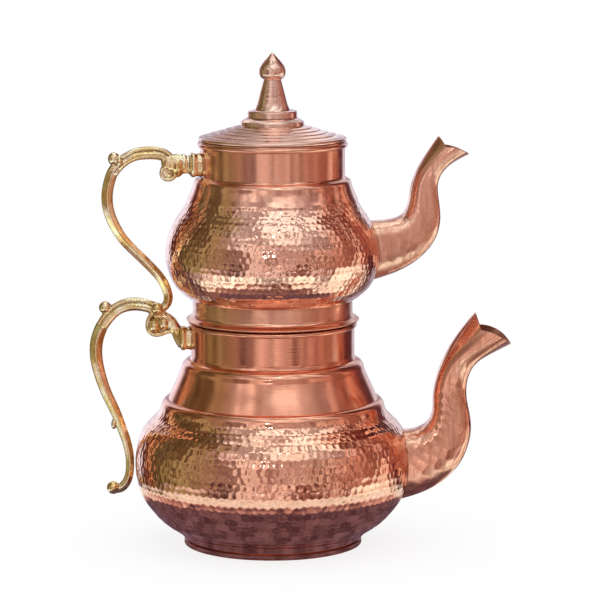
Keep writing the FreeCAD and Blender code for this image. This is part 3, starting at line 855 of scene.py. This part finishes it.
hammered_copper = copper("hammered copper", 0.085)
teapot_copper = copper("teapot copper", 0.085, pale=0.25)
kettle_spout_copper = copper("kettle spout copper", 0.17, drawn=0.5, reddened=0.25)
teapot_spout_copper = copper("teapot spout copper", 0.22, pale=0.2, drawn=0.45, reddened=0.15)
turned_copper = copper("turned copper", 0.17, lathe_lines=1.0)
lid_copper = copper("lid copper", 0.16, lathe_lines=1.6, pale=0.8)
cast_brass = brass()
tin = plain_metal("tin lining", colour(0.5, 0.47, 0.43), colour(0.3, 0.26, 0.23), 0.34, 0.2)
dull_copper = plain_metal("dull copper inside", colour(0.42, 0.19, 0.13), colour(0.24, 0.1, 0.07), 0.42, 0.2)
steel = plain_metal("zinc plated steel", colour(0.62, 0.62, 0.6), colour(0.42, 0.42, 0.42), 0.28, 3.0)


# ---------------- the pieces
# Sections along the spouts: (x, z) of the back, (x, z) of the front, and half the width.
kettle_spout_sections = [
    ((82.0, 80.0), (80.0, 29.0), 19.2),
    ((90.0, 80.2), (93.0, 31.9), 18.9),
    ((98.5, 80.8), (106.5, 36.4), 18.4),
    ((106.0, 83.4), (119.5, 43.6), 17.5),
    ((110.6, 88.0), (130.5, 54.0), 16.4),
    ((112.6, 93.5), (137.4, 67.0), 15.0),
    ((113.1, 99.5), (140.3, 84.0), 13.4),
    ((113.2, 106.5), (137.6, 101.0), 12.0),
    ((115.0, 116.5), (137.2, 114.0), 11.5),
    ((118.6, 127.8), (141.8, 126.0), 12.6),
    ((125.6, 142.0), (153.5, 134.6), 15.3),
    ((134.5, 154.8), (166.8, 141.4), 17.3),
    ((144.0, 166.0), (179.0, 147.0), 17.8),
]
# (x, z) of the mouths' back tips, notches, crests and front tips.
kettle_mouth = ((142.9, 163.0), (146.2, 153.6), (158.5, 149.9), (167.9, 142.0))
teapot_spout_sections = [
    ((64.0, 228.0), (63.0, 184.5), 16.3),
    ((72.5, 228.0), (77.0, 188.0), 16.0),
    ((80.5, 228.4), (88.5, 192.0), 15.5),
    ((88.0, 229.6), (99.5, 197.8), 14.7),
    ((93.4, 232.4), (109.2, 205.8), 13.7),
    ((96.0, 237.0), (116.4, 216.0), 12.4),
    ((97.4, 242.6), (119.4, 228.6), 11.3),
    ((98.4, 249.0), (118.4, 241.6), 10.4),
    ((100.2, 256.6), (117.6, 252.6), 10.0),
    ((104.0, 265.6), (121.2, 261.6), 10.8),
    ((109.2, 274.4), (129.4, 268.6), 12.8),
    ((115.0, 282.8), (140.0, 274.0), 14.5),
    ((121.5, 291.5), (150.5, 278.5), 14.7),
]
teapot_mouth = ((118.0, 287.2), (121.4, 280.2), (131.0, 278.4), (139.9, 273.9))


def cylinder(start, r, length):
    """A closed cylinder along +X."""
    angle = round_angles(20)
    ring = np.stack([np.zeros(20), r * np.cos(angle), r * np.sin(angle)], axis=1) + np.array(start, float)
    reach = np.array([length, 0, 0])
    middle = np.array([start], float)
    return skin([middle, ring, ring + reach, middle + reach])


def screw_hole(neck_r, boss_z):
    """The hole for a handle's screw, through the neck's wall."""
    return cylinder((-neck_r - 4.4, 0, boss_z), 2.5, 9)


def strainer_holes():
    """The punched holes behind the teapot's spout, in rings round a middle one."""
    holes = []
    for ring_r, count in ((0.0, 1), (6.2, 6), (12.2, 12)):
        for number in range(count):
            angle = 2 * math.pi * number / count
            start = (63.3, 0.82 * ring_r * math.cos(angle), 208.0 + 1.12 * ring_r * math.sin(angle))
            holes.append(cylinder(start, 1.8, 20))
    return holes


def build_kettle():
    """Kettle body, spout and handle."""
    body = make_pot("kettle_shell", 0.0, hammered_copper, outline=kettle_outline, neck_r=kettle_neck_r,
                    bead_middle=kettle_bead_middle, bead_z=kettle_top - bead_r,
                    marks=112, rows=21, hammer_r=19.0, seed=11)
    spout, bore = make_spout("kettle_swan_spout", 0.0, kettle_spout_sections, kettle_mouth, kettle_outline,
                             beak_from=0.62, marks=13, mark_length=4.3, strength=0.85, hammered_to=96.0,
                             seed=5, material=kettle_spout_copper)
    cut_away(body, *bore)
    cut_away(body, *screw_hole(kettle_neck_r, kettle_boss_z))
    handle = make_handle("kettle_cast_handle", 0.0, kettle_handle_shapes())
    return {"kettle_body": body, "kettle_spout": spout, "kettle_handle": handle}


def build_teapot():
    """Teapot body, seat collar, spout and handle."""
    body = make_pot("teapot_shell", teapot_turn, teapot_copper, outline=teapot_outline, neck_r=teapot_neck_r,
                    bead_middle=teapot_bead_middle, bead_z=teapot_top - bead_r,
                    marks=104, rows=18, hammer_r=16.0, seed=23)
    spout = make_spout("teapot_swan_spout", teapot_turn, teapot_spout_sections, teapot_mouth, teapot_outline,
                       beak_from=0.6, marks=12, mark_length=4.0, strength=0.6, hammered_to=66.0, seed=9,
                       material=teapot_spout_copper)[0]
    cut_away(body, *merged(strainer_holes()), turn=teapot_turn)
    cut_away(body, *screw_hole(teapot_neck_r, teapot_boss_z), turn=teapot_turn)
    handle = make_handle("teapot_cast_handle", teapot_turn, teapot_handle_shapes())
    collar = turned_piece("teapot_seat_collar", collar_line(), 360, turned_copper)
    return {"teapot_body": body, "teapot_spout": spout, "teapot_handle": handle, "teapot_collar": collar}


def lid_line():
    """Section of the lid: rolled rim, terraces like turned steps, and the disc that the finial stands on."""
    bead_middle, bead_r_lid = 50.4, 1.4
    bead_z = lid_low + bead_r_lid
    start_z = bead_z + bead_r_lid - 0.1
    terraces, outer_r, disc_r, disc_z = 5, 49.6, 22.2, 296.3
    run, rise = (outer_r - disc_r) / terraces, (disc_z - start_z) / terraces
    corners = [(outer_r, start_z)]
    for step in range(terraces):
        r, z = outer_r - run * step, start_z + rise * step
        corners += [(r, z + 0.34 * rise), (r - run, z + rise)]
    corners += [(disc_r, disc_z + 2.7), (17.0, lid_high), (2.0, lid_high)]
    outer = np.array(corners)
    inner = (outer + left_of(outer) * lid_wall)[::-1]
    start = math.degrees(math.asin((start_z - bead_z) / bead_r_lid))
    bead = arc((bead_middle, bead_z), bead_r_lid, start - 360 + 30, start, 26)
    return np.concatenate([bead, rounded(outer, 0.28)[1:], inner[:-1]])


def lid_skirt_line():
    """Section of the skirt inside the teapot's mouth and the flange that rests on its rim."""
    skirt_low, skirt_high = heights("lid_skirt")
    skirt_out = teapot_neck_r - wall - 0.5
    skirt_in = skirt_out - lid_wall
    seat = teapot_top + solder_gap
    flange_r = 51.4
    return [(skirt_in, skirt_low), (skirt_out, skirt_low), (skirt_out, seat), (flange_r, seat),
            (flange_r, skirt_high), (skirt_in, skirt_high)]


def finial_line():
    """Outline of the finial from its foot: disc, waisted cone, and a pointed bulb."""
    disc_r, disc_top, waist_r, waist_z = 17.4, 306.0, 6.1, 328.2
    runs = [
        spaced_points([(disc_r, knob_low), (disc_r, disc_top)], 1.0),
        spaced_points([(disc_r, disc_top), (16.9, 306.5)], 0.5),
        spaced_points([(16.9, 306.5), (12.9, 306.9), (11.6, 309.0), (9.4, 316.0), (7.4, 323.4),
                       (waist_r, waist_z)], 0.75),
        spaced_points([(waist_r, waist_z), (7.6, 329.2), (9.35, 332.9), (8.1, 338.0), (3.8, 343.3),
                       (0.9, 346.4)], 0.7),
    ]
    return np.concatenate([[(0, knob_low)], joined(runs), [(0, knob_high)]])


def build_lid():
    """Terraced lid, its skirt, and the turned finial."""
    return {
        "lid_shell": turned_piece("lid_terraces", lid_line(), 384, lid_copper, grooves=0.006, seed=3),
        "lid_skirt": turned_piece("lid_inner_skirt", lid_skirt_line(), 240, turned_copper),
        "lid_knob": turned_piece("lid_finial", finial_line(), 160, lid_copper, closed=False, grooves=0.035,
                                 seed=7, sharp=50.0),
    }


def finish_of(node_name):
    """The record's material slot of a CAD node."""
    return next(s["material_slot"] for s in frame["record"]["subparts"] if s["node"] == node_name)


for body_name, pieces in (("kettle", build_kettle()), ("teapot", build_teapot()), ("lid", build_lid())):
    for node_name, piece in pieces.items():
        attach(piece, body_name)
        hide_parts(node_name)

for node_name, cad_object in frame["nodes"].items():
    finish = {"steel": steel, "smooth_copper": turned_copper}.get(finish_of(node_name))
    if finish and not cad_object.hide_render:
        for material_slot in cad_object.material_slots:
            material_slot.link = "OBJECT"
            material_slot.material = finish
        for polygon in cad_object.data.polygons:
            polygon.use_smooth = True
        cad_object.data.set_sharp_from_angle(angle=math.radians(30))


# ---------------- studio
def ramp(value, stops):
    """Colours between (value, colour) stops. The value runs from the first stop to the last."""
    first, last = stops[0][0], stops[-1][0]
    share = node("MapRange", [value, first, last, 0.0, 1.0])
    made = node("ValToRGB", [share])
    elements = made.node.color_ramp.elements
    for number, (place, shade) in enumerate(stops):
        where = (place - first) / (last - first)
        element = elements[number] if number < 2 else elements.new(where)
        element.position = where
        element.color = colour(*shade)
    return made


backdrop = (0.7, 0.74, 0.9)
# What the metal mirrors at eye level, by direction: 0 is the camera's side, 90 the spouts' side.
round_about = [
    (-180, backdrop), (-149, backdrop), (-144, (0.5, 0.4, 0.42)), (-141, (0.09, 0.03, 0.025)),
    (-133, (0.14, 0.06, 0.04)), (-129, (0.2, 0.09, 0.05)), (-127, (0.66, 0.36, 0.18)),
    (-123, (0.7, 0.4, 0.2)), (-121, (0.1, 0.06, 0.03)), (-114, (0.12, 0.1, 0.05)), (-98, (0.24, 0.22, 0.1)),
    (-76, (0.29, 0.26, 0.14)), (-58, (0.26, 0.19, 0.12)), (-49, (0.34, 0.25, 0.2)),
    (-38, (0.54, 0.46, 0.41)), (-15, (0.7, 0.59, 0.56)), (14, (0.78, 0.65, 0.62)), (33, (0.66, 0.53, 0.47)),
    (58, (0.52, 0.34, 0.29)), (84, (0.42, 0.21, 0.16)), (99, (0.34, 0.14, 0.1)), (102, (1.1, 0.85, 0.7)),
    (107, (1.2, 0.95, 0.8)), (110, (0.3, 0.1, 0.08)), (124, (0.26, 0.08, 0.06)),
    (134, (0.1, 0.035, 0.045)), (146, (0.12, 0.05, 0.06)), (152, (0.7, 0.75, 0.9)), (180, backdrop),
]
# What it mirrors above and below, by degrees above the horizon.
overhead = [
    (18, (0.6, 0.54, 0.5)), (35, (0.84, 0.8, 0.8)), (45, (0.96, 1.06, 1.06)), (62, (0.98, 1.08, 1.08)),
    (90, (1.1, 1.14, 1.12)),
]
below = [
    (-90, (0.16, 0.1, 0.13)), (-47, (0.3, 0.18, 0.16)), (-45, (0.85, 0.75, 0.66)), (-40, (1.05, 1.2, 1.12)),
    (-30, (1.05, 1.2, 1.12)), (-24, (0.64, 0.55, 0.58)), (-18, (0.68, 0.6, 0.56)),
]
# Dark and bright things about the room: direction, degrees above the horizon, width, height, share, colour.
patches = [
    (31, -17, 17, 9, 0.85, (0.2, 0.07, 0.05)), (62, 0, 10, 10, 0.6, (0.2, 0.07, 0.05)),
    (-7, -16, 7, 8, 0.5, (0.25, 0.1, 0.08)), (-41, -17, 8, 11, 0.85, (0.08, 0.03, 0.03)),
    (-2, -33, 16, 4, 0.5, (0.3, 0.2, 0.26)), (-20, 30, 9, 12, 0.2, (1.2, 1.1, 1.0)),
    (100, -42, 42, 34, 0.95, (1.05, 1.1, 1.0)),
]
# Radii of the painted table reflection's shade, its rose edge and its light, and where it has faded out, in
# metres.
shade_reach, rose_reach, lit_reach, glow_end = 0.137, 0.158, 0.178, 0.205
steepest = 0.71             # sine of the steepest ray that sees the lit table


def panels(tall, turn, height):
    """The studio's colours: round_about at eye level, overhead above front and back, below in front, and a
    dark floor behind."""
    waver = times(minus(noise(tall, 5.0), 0.5), 22.0)
    side = ramp(plus(turn, waver), round_about)
    turn_size = calc("ABSOLUTE", turn)
    in_front, behind = scaled(turn_size, 115, 85), scaled(turn_size, 140, 160)
    over_front = times(scaled(turn, -66, -40), scaled(turn, 92, 58))
    low_front = mixed(in_front, side, ramp(height, below))
    seen = tinted(side, low_front, height, -16, -22)
    above = times(scaled(height, 16, 30), plus(over_front, behind))
    above = calc("MAXIMUM", above, scaled(height, 58, 74))
    seen = mixed(above, seen, ramp(height, overhead))
    low_behind = times(scaled(height, -16, -24), scaled(turn_size, 95, 112))
    low_behind = times(low_behind, scaled(turn_size, 162, 150))
    return mixed(low_behind, seen, colour(0.15, 0.09, 0.11))


def cluttered(seen, direction, tall):
    """The studio's colours broken up into lighter and darker blocks with bent edges."""
    wander = node("TexNoise", {"Vector": direction, "Scale": 9.0}, output=1)
    bent = node("VectorMath", {0: wander, 1: (0.12, 0.12, 0.12), 2: tall}, operation="MULTIPLY_ADD")
    blocks = node("TexVoronoi", {"Vector": bent, "Scale": 6.0}, output=1)
    lightness = scaled(node("SeparateColor", [blocks]), 0.12, 0.88)
    shades = mixed(lightness, colour(0.52, 0.41, 0.41), colour(1.48, 1.54, 1.52))
    clutter = scaled(noise(tall, 16.0, 4.0, 0.65), 0.36, 0.66, 0.7, 1.28)
    seen = node("VectorMath", [seen, shades], operation="MULTIPLY")
    return node("VectorMath", {0: seen, 3: clutter}, operation="SCALE")


def surroundings():
    """A white room to the camera; to the metal, a studio with panels of olive, cream and brown."""
    world = bpy.data.worlds.new("studio")
    scene.world = world
    world.use_nodes = True
    tree = world.node_tree
    tree.nodes.clear()
    direction = node("TexCoord", tree=tree)
    x, y, z = node("SeparateXYZ", [direction], output=None)
    degrees = 180 / math.pi
    turn = times(calc("ARCTAN2", x, times(y, -1.0)), degrees)
    height = times(calc("ARCSINE", z), degrees)
    tall = node("Mapping", {"Vector": direction, "Scale": (1, 1, 0.35)})
    seen = panels(tall, turn, height)
    for at_turn, at_height, wide, high, strength, shade in patches:
        across = calc("DIVIDE", minus(turn, at_turn), wide)
        up = calc("DIVIDE", minus(height, at_height), high)
        off = plus(times(across, across), times(up, up))
        off = plus(off, minus(noise(direction, 9.0), 0.5))
        seen = tinted(seen, colour(*shade), off, 1.1, 0.5, strength)
    mirrored = node("Background", [cluttered(seen, direction, tall)])
    open_white = node("Background", [colour(1, 1, 1)], tree=tree)
    glossy = node("LightPath", output=3, tree=tree)
    node("OutputWorld", [node("MixShader", [glossy, open_white, mirrored])], output=None)


def level_plane(name, reach, z):
    """A square on the ground, with an empty material. Returns it with the material's tree."""
    mesh = bpy.data.meshes.new(name)
    corners = [(-reach, -reach, z), (reach, -reach, z), (reach, reach, z), (-reach, reach, z)]
    mesh.from_pydata(corners, [], [(0, 1, 2, 3)])
    plane = add_object(name, mesh)
    material = bpy.data.materials.new(name)
    material.use_nodes = True
    material.node_tree.nodes.clear()
    mesh.materials.append(material)
    return plane, material.node_tree


def floor():
    """A pale floor with only a soft contact shadow. The metal doesn't mirror it."""
    plane, tree = level_plane("floor", 40.0, 0.0)
    diffuse = node("BsdfDiffuse", [colour(0.2, 0.2, 0.2)], tree=tree)
    glow = node("Emission", [colour(1, 1, 1), 0.82], tree=tree)
    node("OutputMaterial", [node("AddShader", [diffuse, glow])], output=None)
    plane.visible_glossy = False


def painted_table_reflection():
    """A painted reflection of the table, seen only by the metal: a glowing sheet with a painted dark shade
    under the pot, and a ring of painted lit table round that.
    """
    mirror, tree = level_plane("painted_table_reflection", 0.25, 0.0002)
    place = node("TexCoord", output=3, tree=tree)
    radius = node("VectorMath", [place], output=1, operation="LENGTH")
    plum, white = (0.17, 0.105, 0.135), colour(1, 1, 1)
    # painted shade under the pot, then a painted rose edge and lit table round it
    shade = ramp(radius, [
        (0, (0.2, 0.12, 0.16)), (0.08, plum), (shade_reach - 0.002, plum), (shade_reach, (0.36, 0.2, 0.2)),
        (0.148, (0.75, 0.5, 0.46)), (rose_reach, (1.0, 1.0, 0.92)), (lit_reach, (1.05, 1.16, 1.12)),
    ])
    far_shade = tinted(colour(*plum), colour(0.34, 0.2, 0.17), radius, 0.15, 0.19)
    steepness = node("SeparateXYZ", [node("NewGeometry", output=4, tree=tree)], output=2)
    shade = tinted(shade, far_shade, steepness, steepest - 0.02, steepest + 0.02)
    lightness = scaled(noise(place, 70.0, 3.0, 0.6), 0.36, 0.66)
    mottle = mixed(lightness, colour(0.5, 0.46, 0.5), colour(1.3, 1.42, 1.42))
    mottle = mixed(scaled(radius, 0.14, 0.18, 1.0, 0.35), white, mottle)
    shade = node("VectorMath", [shade, mottle], operation="MULTIPLY")
    lit = node("Emission", [shade])
    there = scaled(radius, glow_end, lit_reach)
    see_through = node("BsdfTransparent", tree=tree)
    node("OutputMaterial", [node("MixShader", [there, see_through, lit])], output=None)
    mirror.visible_camera = False
    mirror.visible_diffuse = False
    mirror.visible_shadow = False
    mirror.visible_transmission = False


def lamp(name, turn, height):
    """A small round lamp for sparkle, aimed at the pots: turn from the camera's side, height above level."""
    distance, size, power = 1.6, 0.04, 0.3
    light = bpy.data.lights.new(name, "AREA")
    light.shape = "DISK"
    light.size = size
    light.energy = power
    thing = add_object(name, light)
    a, e = math.radians(turn), math.radians(height)
    back = np.array([math.sin(a) * math.cos(e), -math.cos(a) * math.cos(e), math.sin(e)])
    pots_middle = np.array([0, 0, 0.17])
    thing.location = pots_middle + back * distance
    thing.rotation_mode = "QUATERNION"
    thing.rotation_quaternion = Vector(-back).to_track_quat("-Z", "Y")


def camera():
    """A long lens from slightly above, looking along +Y."""
    view = bpy.data.cameras.new("camera")
    view.lens = 181.0
    view.sensor_width = 36.0
    view.clip_start, view.clip_end = 0.1, 100
    thing = add_object("camera", view)
    thing.location = (0.01925, -2.1, 0.485)
    pitch_down = 8.45
    thing.rotation_euler = (math.radians(90 - pitch_down), 0, 0)
    scene.camera = thing


surroundings()
floor()
painted_table_reflection()
lamp("key_sparkle", -5, 20)
lamp("high_sparkle", 9, 50)
camera()
scene.view_settings.view_transform = "Standard"

bpy.context.view_layer.update()
